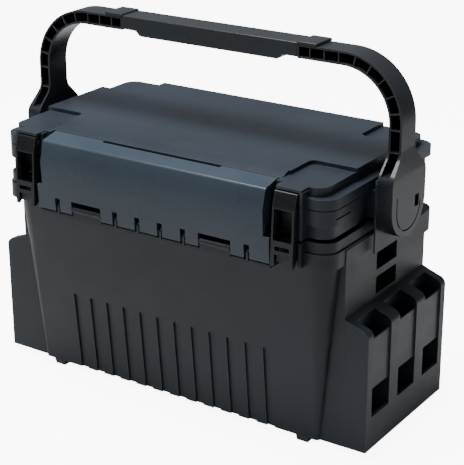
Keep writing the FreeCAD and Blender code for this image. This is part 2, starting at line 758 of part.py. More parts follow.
# Flap: a folded shell with a hinge bar along its foot and notches for the hinge.
flap = body("Flap")
belly_height = "(flap_edge + flap_belly_height)"
shoulder_height = "(flap_edge + flap_shoulder_height)"
flap_rear = "(-apron_front - flap_seam)"
foot_front = ("(-flap_face - (flap_belly - flap_face) * flap_foot_height"
              " / flap_belly_height)")
pad(flap, "flap_shell", "YZ", "-flap_half", "flap_half", [
    ("-flap_face", "flap_edge"),
    ("-flap_belly", belly_height),
    ("-flap_shoulder", shoulder_height, 3),
    (flap_rear, "plate_top"),
    (flap_rear, "plate_top - flap_wall"),
    ("-flap_shoulder + 1.2 * flap_wall", f"{shoulder_height} - flap_wall", 1.5),
    ("-flap_belly + flap_wall", belly_height),
    ("-flap_face + flap_wall", "flap_edge + hinge_slot_height"),
    ("flap_axis_y + barrel_radius", "flap_axis_z + barrel_radius"),
    ("flap_axis_y + barrel_radius", "flap_edge", "barrel_radius"),
])
pad(flap, "flap_foot", "YZ", "-flap_foot_half", "flap_foot_half", [
    ("-flap_face", "flap_edge"),
    (foot_front, "flap_edge + flap_foot_height"),
    (f"{foot_front} + flap_wall", "flap_edge + flap_foot_height"),
    ("-flap_face + flap_wall", "flap_edge + hinge_slot_height"),
    ("flap_axis_y + barrel_radius", "flap_axis_z + barrel_radius"),
    ("flap_axis_y + barrel_radius", "flap_edge", "barrel_radius"),
])
for side, word in side_names.items():
    pad(flap, f"{word}_flap_cheek", "YZ", *span(side, "flap_half - flap_wall", "flap_half"), [
        (f"{foot_front} + 1", "flap_edge + flap_foot_height"),
        ("-flap_belly + 1", belly_height),
        ("-flap_shoulder + 1", f"{shoulder_height} - 1"),
        ("-tower_front + 10", "plate_top - flap_wall - 0.4"),
        ("-tower_front + 4", f"{belly_height} - 12"),
    ])
pocket(flap, "hinge_slots", "XZ", "-flap_belly - 1", "flap_axis_y + 2 * barrel_radius",
       *[block(f"{spot} - short_slot / 2", f"{spot} + short_slot / 2", "flap_edge - 1",
               "flap_edge + hinge_slot_height") for spot in clip_spots],
       *[block(f"{spot} - long_slot / 2", f"{spot} + long_slot / 2", "flap_edge - 1",
               "flap_edge + hinge_slot_height")
         for spot in ("long_slot_place", "-long_slot_place")])
pocket(flap, "flap_bore", "YZ", "-flap_foot_half - 1", "flap_foot_half + 1",
       ("flap_axis_y", "flap_axis_z", "flap_pin + pin_clearance"))
pocket(flap, "finger_recess", "XY", "plate_top - 2 * flap_wall", "plate_top + 1",
       block("-finger_recess_half", "finger_recess_half",
             f"{flap_rear} - finger_recess_depth", f"{flap_rear} + 1"))
finish("front_flap", flap)


def pin(name, radius, low, high, y, z):
    """A straight round pin along X."""
    rod = doc.addObject("Part::Cylinder", name)
    rod.Placement.Rotation = Rotation(Vector(0, 1, 0), 90)
    for target, text in (("Radius", radius), ("Height", f"({high}) - ({low})"),
                         ("Placement.Base.x", low), ("Placement.Base.y", y),
                         ("Placement.Base.z", z)):
        rod.setExpression(target, linked(text))
    return rod


finish("flap_hinge_pin", pin("Flap_pin", "flap_pin", "-flap_foot_half + 1",
                             "flap_foot_half - 1", "flap_axis_y", "flap_axis_z"))
rear_reach = "(3 * rear_knuckle / 2 - 0.5)"
finish("rear_hinge_pins", fused("Rear_pins", *[
    pin(f"Rear_pin_{word}", "rear_pin", f"{side} * rear_hinge_place - {rear_reach}",
        f"{side} * rear_hinge_place + {rear_reach}", "rear_axis_y", "rear_axis_z")
    for side, word in side_names.items()]))

# Lid: beaded skirt, corner plates, raised seat, front towers and apron.
lid = body("Lid")
pad(lid, "skirt_wall", "XY", "lid_rear_low", "ledge_top", bead("skirt_inset"))
for word, low, high, inset in (
        ("lower", "lid_low", "lid_low + skirt_band", "lower_band_inset"),
        ("upper", "lid_low + skirt_band + groove_height",
         "ledge_top - bead_band - groove_height", "0")):
    pad(lid, f"{word}_band", "XY", low, high, [
        (f"-bead_half + {inset}", f"-bead_front + {inset}", f"bead_round - {inset}"),
        (f"bead_half - {inset}", f"-bead_front + {inset}", f"bead_round - {inset}"),
        (f"bead_half - {inset}", "-hub_bay"), (f"-bead_half + {inset}", "-hub_bay")])
pad(lid, "bead", "XY", "ledge_top - bead_band", "ledge_top", bead("0"))
pad(lid, "plates", "XY", "ledge_top", "plate_top",
    oblong("plate_half", "plate_front", "plate_rear", "plate_round"))


def seat_outline(inset):
    """The seat: wide in its middle, with a notch at each corner."""
    neck, half = f"seat_neck - ({inset})", f"seat_half - ({inset})"
    front, rear = f"seat_front - ({inset})", f"seat_rear - ({inset})"
    wing_front = f"seat_wing_front - ({inset})"
    wing_rear = f"seat_wing_rear - ({inset})"
    turn = "seat_notch_round"
    return [
        (f"-({neck})", f"-({front})"), (neck, f"-({front})"),
        (neck, f"-({wing_front})", turn), (half, f"-({wing_front})"),
        (half, wing_rear), (neck, wing_rear, turn),
        (neck, rear), (f"-({neck})", rear),
        (f"-({neck})", wing_rear, turn), (f"-({half})", wing_rear),
        (f"-({half})", f"-({wing_front})"), (f"-({neck})", f"-({wing_front})", turn),
    ]


pad(lid, "seat", "XY", "plate_top - 1", "seat_top", seat_outline("0"))
pad(lid, "towers", "XY", "plate_top - tower_plate", "plate_top",
    *both_sides("latch_inner", "tower_outer", "-tower_front", "-plate_front + 8"))
pad(lid, "tower_cheeks", "XY", "lid_low", "plate_top - 1",
    *both_sides("latch_inner - latch_gap / 2 - cheek_thickness", "latch_inner - latch_gap / 2",
                "-bead_front - 2", "-bead_front + 6"))
pad(lid, "tower_guards", "XY", "lid_low", "plate_top - tower_plate",
    *both_sides("latch_outer + latch_gap", "latch_outer + latch_gap + guard_width",
                "-tower_front", "-bead_front + 6"))
pocket(lid, "hollow", "XY", "lid_rear_low", "ledge_top - wall_thickness",
       bead("skirt_wall_inset"))
pocket(lid, "plate_hollow", "XY", "ledge_top - wall_thickness", "plate_top - wall_thickness",
       oblong("plate_half - wall_thickness", "plate_front - wall_thickness",
              "plate_rear - wall_thickness", "plate_round - wall_thickness"))
pocket(lid, "seat_hollow", "XY", "plate_top - wall_thickness",
       "seat_top - wall_thickness", seat_outline("wall_thickness"))
pocket(lid, "rear_step_below", "XY", "lid_rear_low", "lid_low",
       block("-bead_half - 5", "bead_half + 5", "-bead_front - 5", "step_place + step_gap"))
pocket(lid, "band_slots", "XY", "lid_low + skirt_band / 2 + skirt_band",
       "lid_low + skirt_band / 2 + skirt_band + band_slot_height",
       *both_sides("bead_half - 3", "bead_half + 1", "-hub_bay - 19.5 - band_slot_length",
                   "-hub_bay - 19.5"))
pocket(lid, "flap_opening", "XY", "lid_low", "seat_top",
       block("-tower_inner", "tower_inner", "-tower_front - 5", "-apron_front"))
pad(lid, "apron", "YZ", "-tower_inner - 1", "tower_inner + 1", [
    ("-apron_front", "ledge_top - bead_band"),
    ("-apron_front", "plate_top"),
    ("-seat_front", "seat_top"),
    ("-seat_front", "plate_top - wall_thickness"),
    ("-apron_front + wall_thickness", "plate_top - wall_thickness"),
    ("-apron_front + wall_thickness", "ledge_top - bead_band"),
])
lugs = body("Latch_lugs")
lug_radius = "(latch_barrel - latch_shell - latch_clearance)"
lug_reach = "(latch_outer - latch_wall - 1)"
lug_start = "(latch_inner + latch_wall + 1)"
pad(lugs, "lug_bar", "YZ", f"-{lug_reach}", lug_reach, [
    ("-bead_front + 1", f"latch_axis_z - {lug_radius}"),
    ("-bead_front + 1", "latch_axis_z - 1"),
    (f"-latch_pivot_back + {lug_radius} - 0.4", "latch_axis_z - 1"),
    (f"-latch_pivot_back + {lug_radius} - 0.4", f"latch_axis_z + {lug_radius}",
     f"{lug_radius} - 0.6"),
    (f"-latch_pivot_back - {lug_radius}", f"latch_axis_z + {lug_radius}",
     f"{lug_radius} - 0.6"),
    (f"-latch_pivot_back - {lug_radius}", f"latch_axis_z - {lug_radius}",
     f"{lug_radius} - 0.6"),
])
pocket(lugs, "lug_gap", "XY", "latch_axis_z - 2 * latch_barrel",
       "latch_axis_z + 2 * latch_barrel",
       block(f"-{lug_start}", lug_start, "-tower_front - 10", "-bead_front + 5"))
pocket(lugs, "lug_bore", "YZ", f"-{lug_reach} - 1", f"{lug_reach} + 1",
       ("-latch_pivot_back", "latch_axis_z", "latch_pin + pin_clearance"))
lid_knuckles = body("Lid_knuckles")
pad(lid_knuckles, "lid_knuckle_bar", "YZ",
    "-rear_hinge_place - rear_knuckle / 2 + rear_knuckle_gap / 2",
    "rear_hinge_place + rear_knuckle / 2 - rear_knuckle_gap / 2", knuckle_outline(1))
pocket(lid_knuckles, "lid_knuckle_gap", "XY", "rear_axis_z - 2 * rear_barrel",
       "rear_axis_z + 3 * rear_barrel",
       block("-rear_hinge_place + rear_knuckle / 2 - rear_knuckle_gap / 2",
             "rear_hinge_place - rear_knuckle / 2 + rear_knuckle_gap / 2",
             "bead_rear - 5", "bead_rear + 15"))
pocket(lid_knuckles, "lid_knuckle_bore", "YZ", "-rear_hinge_place - rear_knuckle",
       "rear_hinge_place + rear_knuckle", ("rear_axis_y", "rear_axis_z",
                                           "rear_pin + pin_clearance"))
finish("lid", fused("Whole_lid", lid, lugs, lid_knuckles))

# Latches: channels hung on the tower lugs, with a window, a slot and a hook opening.
for side, word in side_names.items():
    latch = body(f"{word}_latch_body")
    pad(latch, f"{word}_latch_channel", "YZ", *span(side, "latch_inner", "latch_outer"), [
        ("-latch_front", "latch_low"),
        ("-latch_knee_front", "latch_knee"),
        ("-latch_pivot_back - 0.75 * latch_barrel", "latch_axis_z + latch_barrel",
         "latch_barrel * 0.3"),
        ("-latch_pivot_back + latch_barrel", "latch_axis_z + latch_barrel",
         "latch_barrel - 0.3"),
        ("-latch_front + latch_depth", "latch_axis_z - 2 * latch_barrel"),
        ("-latch_front + latch_depth", "latch_low + 22", 4),
        ("-latch_front + 5", "latch_low", 2),
    ])
    shell = "(latch_barrel - latch_shell)"
    pocket(latch, f"{word}_latch_hollow", "YZ",
           *span(side, "latch_inner + latch_wall", "latch_outer - latch_wall"), [
               ("-latch_front + latch_wall", "latch_low - 1"),
               ("-latch_knee_front + latch_wall", "latch_knee"),
               (f"-latch_pivot_back - 0.75 * {shell}", f"latch_axis_z + {shell}",
                f"{shell} - 0.5"),
               ("-latch_pivot_back", f"latch_axis_z + {shell}"),
               ("-latch_pivot_back", "latch_axis_z + latch_barrel + 1"),
               ("-latch_front + latch_depth + 2", "latch_axis_z + latch_barrel + 1"),
               ("-latch_front + latch_depth + 2", "latch_low - 1"),
           ])
    openings = (("latch_window_low", "latch_window_high", -0.4),
                ("latch_slot_low", "latch_slot_high", 1.5), ("-1", "hook_high", 1.5))
    pocket(latch, f"{word}_latch_windows", "XZ", "-latch_front - 1",
           "-latch_knee_front + latch_wall + 0.3",
           *[block(f"{side} * (latch_inner + latch_wall + {inset})",
                   f"{side} * (latch_outer - latch_wall - {inset})",
                   f"latch_low + {low}", f"latch_low + {high}")
             for low, high, inset in openings])
    pocket(latch, f"{word}_latch_bore", "YZ", *span(side, "latch_inner - 1", "latch_outer + 1"),
           ("-latch_pivot_back", "latch_axis_z", "latch_pin + pin_clearance"))
    finish(f"{word}_latch", latch)
    low, high = span(side, "latch_inner + 0.3", "latch_outer - 0.3")
    finish(f"{word}_latch_pin", pin(f"{word}_latch_pivot", "latch_pin", low, high,
                                    "-latch_pivot_back", "latch_axis_z"))

# Handle brackets on the lid's ends: block, two fins and the boss that bears the hub.
screw_spots = [(f"{step} * screw_spread", f"pivot_height + {rise} * screw_rise")
               for step in (-1, 1) for rise in (-1, 1)]


def hexagon(y, z, radius):
    """The six corners of a screw's shank."""
    return [(f"{y} + {radius} * cos({60 * k})", f"{z} + {radius} * sin({60 * k})")
            for k in range(6)]


for side, word in side_names.items():
    bracket = body(f"{word}_bracket")
    pad(bracket, f"{word}_bracket_block", "YZ",
        *span(side, "block_back", "bracket_face + bracket_plate"),
        block("-plate_half_width", "plate_half_width", "lid_low + 0.5", "ledge_top - bead_band"))
    pad(bracket, f"{word}_bracket_plate", "YZ",
        *span(side, "bracket_face", "bracket_face + bracket_plate"),
        block("-plate_half_width", "plate_half_width", "panel_top + 1", "ledge_top - 1"))
    pad(bracket, f"{word}_fin_webs", "YZ",
        *span(side, "bracket_face", "bracket_face + fin_reach"),
        *[block(f"{step} * (fin_inner + plate_half_width) / 2 - (plate_half_width - fin_inner) / 2",
                f"{step} * (fin_inner + plate_half_width) / 2 + (plate_half_width - fin_inner) / 2",
                "panel_top + 1", "ledge_top - 1") for step in (-1, 1)])
    pad(bracket, f"{word}_fins", "YZ",
        *span(side, "bracket_face + fin_reach - fin_thickness", "bracket_face + fin_reach"),
        block("-bracket_half", "-fin_inner", "ledge_top - 1 - fin_length", "ledge_top - 1"),
        block("fin_inner", "bracket_half", "ledge_top - 1 - fin_length", "ledge_top - 1"))
    pad(bracket, f"{word}_boss", "YZ", *span(side, "bracket_face", "arm_inner - hub_gap"),
        ("0", "pivot_height", "boss_radius"))
    pocket(bracket, f"{word}_pivot_seat", "YZ", *span(side, "block_back - 1", "arm_inner + 1"),
           ("0", "pivot_height", "pivot_radius"))
    pocket(bracket, f"{word}_screw_holes", "YZ",
           *span(side, "block_back + 1.5", "bracket_face + bracket_plate + 1"),
           *[hexagon(y, z, "screw_radius") for y, z in screw_spots])
    finish(f"{word}_handle_bracket", bracket)
    low, high = span(side, "block_back + 1", "arm_inner + 8")
    finish(f"{word}_pivot_pin", pin(f"{word}_pivot", "pivot_radius", low, high, "0",
                                    "pivot_height"))

screws = body("Screws")
for side, word in side_names.items():
    pad(screws, f"{word}_screw_shanks", "YZ",
        *span(side, "block_back + 1.5", "bracket_face + bracket_plate"),
        *[hexagon(y, z, "screw_radius") for y, z in screw_spots])
    pad(screws, f"{word}_screw_heads", "YZ",
        *span(side, "bracket_face + bracket_plate", "bracket_face + bracket_plate + head_height"),
        *[(y, z, "screw_head") for y, z in screw_spots])
finish("bracket_screws", screws)

# Handle arms: ribbed channels, open to the front, that widen into round hubs.
arm_low = "(arm_outer - arm_thickness)"
bar_low = "(handle_top - arm_thickness)"


def arm_band(side, inset, foot, end):
    """Side view of an arm: up from the hub, round the bend and along to the grip."""
    return [
        (f"{side} * (arm_outer - {inset})", foot),
        (f"{side} * (arm_outer - {inset})", f"handle_top - {inset}",
         f"bend_radius - {inset}"),
        (f"{side} * ({end})", f"handle_top - {inset}"),
        (f"{side} * ({end})", f"{bar_low} + {inset}"),
        (f"{side} * ({arm_low} + {inset})", f"{bar_low} + {inset}",
         f"bend_radius - arm_thickness + {inset}"),
        (f"{side} * ({arm_low} + {inset})", foot),
    ]


def ring_rib(side, angle):
    """A thin web across the channel, square to the bend at the given angle."""
    outer, inner = "(bend_radius - 0.5)", "(bend_radius - arm_thickness + 0.5)"
    corners = []
    for radius, turn in ((inner, -1), (outer, -1), (outer, 1), (inner, 1)):
        x = (f"bend_centre_x + {radius} * cos({angle})"
             f" - {turn} * rib_thickness / 2 * sin({angle})")
        z = (f"bend_centre_z + {radius} * sin({angle})"
             f" + {turn} * rib_thickness / 2 * cos({angle})")
        corners.append((f"{side} * ({x})", z))
    return corners


hub_front = [
    ("-arm_half_depth", "flare_high + 12"),
    ("-arm_half_depth", "flare_high", 14),
    ("-hub_radius", "flare_low", 14),
    ("-hub_radius", "pivot_height - hub_radius", "hub_radius - 0.5"),
    ("hub_radius", "pivot_height - hub_radius", "hub_radius - 0.5"),
    ("hub_radius", "flare_low", 14),
    ("arm_half_depth", "flare_high", 14),
    ("arm_half_depth", "flare_high + 12"),
]
groove_low = "(pivot_height - hub_groove_drop)"
groove_inner = "(hub_groove_half - hub_groove_width)"
groove_outline = [
    ("-hub_groove_half", "pivot_height + 10"),
    ("-hub_groove_half", groove_low, "hub_groove_half - 0.4"),
    ("hub_groove_half", groove_low, "hub_groove_half - 0.4"),
    ("hub_groove_half", "pivot_height - 3.5"),
    (groove_inner, "pivot_height - 3.5"),
    (groove_inner, f"{groove_low} + hub_groove_width", f"{groove_inner} - 0.4"),
    (f"-{groove_inner}", f"{groove_low} + hub_groove_width", f"{groove_inner} - 0.4"),
    (f"-{groove_inner}", "pivot_height + 10"),
]
hole_outline = block("hub_hole_place", "hub_hole_place + 8", "pivot_height - 8.5",
                     "pivot_height + 2.9")
for side, word in side_names.items():
    arm = body(f"{word}_arm")
    pad(arm, f"{word}_arm_bow", "XZ", "-arm_half_depth", "arm_half_depth",
        arm_band(side, "0", "flare_high", "grip_half"))
    pad(arm, f"{word}_hub", "YZ", *span(side, "arm_inner", "arm_outer + hub_swell"), hub_front)
    pocket(arm, f"{word}_hub_slope", "XZ", "-hub_radius - 1", "hub_radius + 1", [
        (f"{side} * (arm_outer + hub_swell)", "flare_low"),
        (f"{side} * arm_outer", "flare_high + 4"),
        (f"{side} * arm_outer", "flare_high + 13"),
        (f"{side} * (arm_outer + hub_swell + 1)", "flare_high + 13"),
        (f"{side} * (arm_outer + hub_swell + 1)", "flare_low"),
    ])
    for piece, depth, outline in (("groove", "hub_groove_depth", groove_outline),
                                  ("hole", "hub_hole_depth", hole_outline)):
        pocket(arm, f"{word}_hub_{piece}", "YZ",
               *span(side, f"arm_outer + hub_swell - {depth}", "arm_outer + hub_swell + 1"),
               outline)
    pocket(arm, f"{word}_channel", "XZ", "-hub_radius - 1", "arm_half_depth - arm_back",
           arm_band(side, "arm_wall", "flare_low + 2", "grip_half + 2"))
    straight_ribs = [block(f"{side} * ({arm_low} + 0.5)", f"{side} * (arm_outer - 0.5)",
                           f"bend_centre_z - {drop}",
                           f"bend_centre_z - {drop} + rib_thickness")
                     for drop in ("4", "25")]
    top_ribs = [block(f"{side} * (grip_half + {reach})",
                      f"{side} * (grip_half + {reach} + rib_thickness)",
                      f"{bar_low} + 0.5", "handle_top - 0.5") for reach in ("13", "28", "43")]
    pad(arm, f"{word}_ribs", "XZ", "-arm_half_depth", "arm_half_depth - 1",
        *straight_ribs, *top_ribs,
        *[ring_rib(side, f"(12 + {step} * 16.4)") for step in range(5)])
    pad(arm, f"{word}_tongue", "YZ",
        *span(side, "grip_half - tongue_length", "grip_half + 1"),
        block("-arm_half_depth + 4", "arm_half_depth - 4", f"{bar_low} + 2.5",
              "handle_top - 2.5"))
    pocket(arm, f"{word}_hub_bore", "YZ", *span(side, "arm_inner - 1", "arm_inner + 9"),
           ("0", "pivot_height", "pivot_radius + pin_clearance"))
    finish(f"{word}_handle_arm", arm)

# Grip: a hollow bar with a deeper belly in the middle.
grip = body("Grip")
grip_low = f"({bar_low} + grip_drop)"
pad(grip, "grip_bar", "XZ", "-arm_half_depth - 0.5", "arm_half_depth + 0.5", [
    ("-grip_half", "handle_top + grip_rise"),
    ("-grip_half", grip_low),
    ("-grip_belly_half - grip_belly", grip_low, 4),
    ("-grip_belly_half", f"{grip_low} - grip_belly", 4),
    ("grip_belly_half", f"{grip_low} - grip_belly", 4),
    ("grip_belly_half + grip_belly", grip_low, 4),
    ("grip_half", grip_low),
    ("grip_half", "handle_top + grip_rise"),
])
pocket(grip, "grip_sockets", "YZ", "-grip_half - 1", "grip_half + 1",
       block("-arm_half_depth + 4", "arm_half_depth - 4", f"{bar_low} + 2.5",
             "handle_top - 2.5"))
finish("handle_grip", grip)
for side, word in side_names.items():
    clip = body(f"{word}_clip")
    pad(clip, f"{word}_clip_top", "XZ", "-arm_half_depth - 1", "arm_half_depth + 1", [
        (f"{side} * grip_half", "handle_top"),
        (f"{side} * grip_half", "handle_top + clip_rise", 1),
        (f"{side} * (grip_half + clip_length)", "handle_top + clip_rise", 1),
        (f"{side} * (grip_half + clip_length)", "handle_top"),
    ])
    finish(f"{word}_grip_clip", clip)

# Inner tray, hung by its rim on two rails inside the case, with loose dividers.
tray = body("Tray")
pad(tray, "tray_shell", "XY", "tray_floor", "tray_seat",
    oblong("tray_half", "tray_front", "tray_rear", "tray_round"))
pad(tray, "tray_rim", "XY", "tray_seat", "tray_seat + tray_wall",
    oblong("tray_half + tray_rim", "tray_front + tray_rim", "tray_rear + tray_rim",
           "tray_round + tray_rim"))
pocket(tray, "tray_hollow", "XY", "tray_floor + tray_wall", "tray_seat + tray_wall",
       oblong("tray_half - tray_wall", "tray_front - tray_wall", "tray_rear - tray_wall",
              "tray_round - tray_wall"))
finish("inner_tray", tray)
dividers = body("Dividers")
pad(dividers, "divider_plates", "XY", "tray_floor + tray_wall", "tray_seat - 4", *[
    block(f"{step} * tray_cell - divider_thickness / 2",
          f"{step} * tray_cell + divider_thickness / 2",
          "-tray_front + tray_wall + 0.2", "tray_rear - tray_wall - 0.2")
    for step in (-1, 0, 1)])
finish("tray_dividers", dividers)


def check_and_export():
    """Stops on any failed feature, then writes one file for each sub-part."""
    doc.recompute()
    volumes = {}
    for item in doc.Objects:
        if set(item.State) & {"Invalid", "Error"}:
            raise SystemExit(f"{item.Name} failed: {item.State}")
        if item.TypeId == "PartDesign::Pocket":
            for solid in (item, item.BaseFeature):
                if solid.Name not in volumes:
                    volumes[solid.Name] = solid.Shape.Volume
            if volumes[item.Name] > volumes[item.BaseFeature.Name] - 0.01:
                raise SystemExit(f"{item.Name} cuts nothing")
    os.makedirs("parts", exist_ok=True)
    for name, item in pieces.items():
        shape = item.Shape
        if shape.isNull() or not shape.isValid():
            raise SystemExit(f"{name} has no valid shape")
        shape.exportStep(f"parts/{name}.step")
        box = shape.BoundBox
        print(f"{name}: {len(shape.Solids)} solids, {shape.Volume / 1000:.1f} cm3,"
              f" x {box.XMin:.1f}..{box.XMax:.1f} y {box.YMin:.1f}..{box.YMax:.1f}"
              f" z {box.ZMin:.1f}..{box.ZMax:.1f}")


check_and_export()
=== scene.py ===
import json
import math

import bmesh
import bpy
from mathutils import Matrix, Vector


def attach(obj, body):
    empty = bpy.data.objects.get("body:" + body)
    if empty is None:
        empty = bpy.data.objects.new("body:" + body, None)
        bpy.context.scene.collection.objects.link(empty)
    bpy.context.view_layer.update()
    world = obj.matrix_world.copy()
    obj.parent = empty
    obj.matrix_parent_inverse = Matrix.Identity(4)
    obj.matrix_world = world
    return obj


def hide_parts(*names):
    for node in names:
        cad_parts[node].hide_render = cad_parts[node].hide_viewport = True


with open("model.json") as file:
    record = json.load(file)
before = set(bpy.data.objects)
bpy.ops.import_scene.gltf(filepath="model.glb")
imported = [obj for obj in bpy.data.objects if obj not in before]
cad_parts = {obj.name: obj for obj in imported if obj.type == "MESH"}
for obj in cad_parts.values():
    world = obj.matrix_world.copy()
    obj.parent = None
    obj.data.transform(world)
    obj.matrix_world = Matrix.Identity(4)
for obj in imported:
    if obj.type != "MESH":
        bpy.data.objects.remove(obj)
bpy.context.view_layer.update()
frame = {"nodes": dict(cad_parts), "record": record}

# shader helpers


def newMaterial(name):
    material = bpy.data.materials.new(name)
    material.use_nodes = True
    return material, material.node_tree, material.node_tree.nodes["Principled BSDF"]


def setInputs(node, values):
    for socket, value in values.items():
        node.inputs[socket].default_value = value


def link(tree, source, sourceSocket, target, targetSocket):
    tree.links.new(source.outputs[sourceSocket], target.inputs[targetSocket])


def addNode(tree, kind, **settings):
    node = tree.nodes.new(kind)
    for key, value in settings.items():
        if key in node.inputs:
            node.inputs[key].default_value = value
        else:
            setattr(node, key, value)
    return node


# camera, floor and light

shot = {
    "position": (0.7787, -1.1372, 0.6967),
    "target": (0.0029, 0.0055, 0.1566),
    "lens": 113.2,
    "sensorWidth": 36,
    "sideShift": 0.0232,
    "roll": -0.335,  # degrees
    "nearClip": 0.05,
    "farClip": 30,
}


def placeCamera():
    data = bpy.data.cameras.new("photoCamera")
    data.lens = shot["lens"]
    data.sensor_width = shot["sensorWidth"]
    data.shift_x = shot["sideShift"]
    data.clip_start, data.clip_end = shot["nearClip"], shot["farClip"]
    camera = bpy.data.objects.new("photoCamera", data)
    bpy.context.scene.collection.objects.link(camera)
    place, target = Vector(shot["position"]), Vector(shot["target"])
    turn = (target - place).to_track_quat("-Z", "Y").to_matrix().to_4x4()
    camera.matrix_world = (Matrix.Translation(place) @ turn
                           @ Matrix.Rotation(math.radians(shot["roll"]), 4, "Z"))
    bpy.context.scene.camera = camera


studio = {
    "floorSize": 12.0,
    "floorColour": (0.5, 0.5, 0.5),
    "floorRoughness": 0.9,
    "floorGlow": 8.0,
    "glowColour": (1, 1, 1),
    "skyColour": (0.93, 0.95, 1.0),
    "skyStrength": 0.3,
    "lampAim": (0, 0, 0.2),
    # name, place, size, power, colour
    "lamps": [
        ("overhead", (-0.2, -0.25, 1.8), 1.1, 125, (0.98, 0.99, 1.0)),
        ("frontLeft", (-1.5, -1.9, 1.6), 0.9, 6, (0.97, 0.98, 1.0)),
        ("rightSide", (2.1, -0.5, 1.5), 0.9, 1, (1.0, 0.99, 0.97)),
    ],
}


def floorPaper():
    material, tree, shader = newMaterial("floorPaper")
    setInputs(shader, {
        "Base Color": (*studio["floorColour"], 1),
        "Roughness": studio["floorRoughness"],
        "Emission Color": (*studio["glowColour"], 1),
    })
    # the paper is washed out for the camera alone, so that it doesn't light the box
    seen = addNode(tree, "ShaderNodeLightPath")
    glow = addNode(tree, "ShaderNodeMath", operation="MULTIPLY")
    link(tree, seen, "Is Camera Ray", glow, 0)
    glow.inputs[1].default_value = studio["floorGlow"]
    link(tree, glow, "Value", shader, "Emission Strength")
    return material


def setStudio():
    bm = bmesh.new()
    bmesh.ops.create_grid(bm, x_segments=1, y_segments=1, size=studio["floorSize"])
    mesh = bpy.data.meshes.new("studioFloor")
    bm.to_mesh(mesh)
    bm.free()
    floor = bpy.data.objects.new("studioFloor", mesh)
    bpy.context.scene.collection.objects.link(floor)
    mesh.materials.append(floorPaper())
    world = bpy.data.worlds.new("studioSky")
    bpy.context.scene.world = world
    world.use_nodes = True
    sky = world.node_tree.nodes["Background"]
    sky.inputs["Color"].default_value = (*studio["skyColour"], 1)
    sky.inputs["Strength"].default_value = studio["skyStrength"]
    for name, place, size, power, colour in studio["lamps"]:
        light = bpy.data.lights.new(name, "AREA")
        light.shape = "DISK"
        light.size, light.energy, light.color = size, power, colour
        lamp = bpy.data.objects.new(name, light)
        bpy.context.scene.collection.objects.link(lamp)
        aim = Vector(studio["lampAim"]) - Vector(place)
        lamp.matrix_world = (Matrix.Translation(place)
                             @ aim.to_track_quat("-Z", "Y").to_matrix().to_4x4())


placeCamera()
setStudio()
print("stage: camera, floor and light placed")

# finishes


def rampBetween(tree, low, high, first, second):
    ramp = addNode(tree, "ShaderNodeValToRGB")
    ramp.color_ramp.elements[0].position, ramp.color_ramp.elements[1].position = low, high
    ramp.color_ramp.elements[0].color = (*first, 1)
    ramp.color_ramp.elements[1].color = (*second, 1)
    return ramp


def noiseAt(tree, coords, scale, detail, roughness=0.5):
    noise = addNode(tree, "ShaderNodeTexNoise", Scale=scale, Detail=detail, Roughness=roughness)
    link(tree, coords, "Object", noise, "Vector")
    return noise


mixSockets = {"first": 6, "second": 7, "result": 2}  # the colour ones of a Mix node


def mouldedPlastic(name, look):
    material, tree, shader = newMaterial(name)
    setInputs(shader, {"IOR": look["ior"], "Specular IOR Level": look["gloss"]})
    coords = addNode(tree, "ShaderNodeTexCoord")
    # slow change of tone from the mould's flow, then pale rubbing on the edges
    cloud = noiseAt(tree, coords, look["cloudScale"], look["cloudDetail"])
    tone = rampBetween(tree, *look["cloudSpan"], look["dark"], look["light"])
    link(tree, cloud, "Fac", tone, "Fac")
    rounding = addNode(tree, "ShaderNodeBevel", samples=look["wearSamples"],
                       Radius=look["wearWidth"])
    plain = addNode(tree, "ShaderNodeNewGeometry")
    facing = addNode(tree, "ShaderNodeVectorMath", operation="DOT_PRODUCT")
    link(tree, rounding, "Normal", facing, 0)
    link(tree, plain, "Normal", facing, 1)
    edge = addNode(tree, "ShaderNodeMapRange")
    edgeStart, edgeFull = look["edgeSpan"]
    setInputs(edge, {"From Min": edgeStart, "From Max": edgeFull,
                     "To Min": 0.0, "To Max": look["wear"]})
    link(tree, facing, "Value", edge, "Value")
    patches = noiseAt(tree, coords, look["patchScale"], look["patchDetail"])
    patchy = addNode(tree, "ShaderNodeMath", operation="MULTIPLY")
    link(tree, edge, "Result", patchy, 0)
    link(tree, patches, "Fac", patchy, 1)
    worn = addNode(tree, "ShaderNodeMix", data_type="RGBA")
    link(tree, patchy, "Value", worn, "Factor")
    link(tree, tone, "Color", worn, mixSockets["first"])
    worn.inputs[mixSockets["second"]].default_value = (*look["rubbed"], 1)
    link(tree, worn, mixSockets["result"], shader, "Base Color")
    # handling marks in the roughness
    smear = noiseAt(tree, coords, look["smearScale"], look["smearDetail"],
                    look["smearRoughness"])
    rough = addNode(tree, "ShaderNodeMapRange")
    smearLow, smearHigh = look["smearSpan"]
    setInputs(rough, {"From Min": smearLow, "From Max": smearHigh,
                      "To Min": look["roughLow"], "To Max": look["roughHigh"]})
    link(tree, smear, "Fac", rough, "Value")
    link(tree, rough, "Result", shader, "Roughness")
    # spark-eroded grain
    grain = noiseAt(tree, coords, look["grainScale"], look["grainDetail"])
    bump = addNode(tree, "ShaderNodeBump", Strength=look["grain"],
                   Distance=look["grainDepth"])
    link(tree, grain, "Fac", bump, "Height")
    link(tree, bump, "Normal", shader, "Normal")
    return material


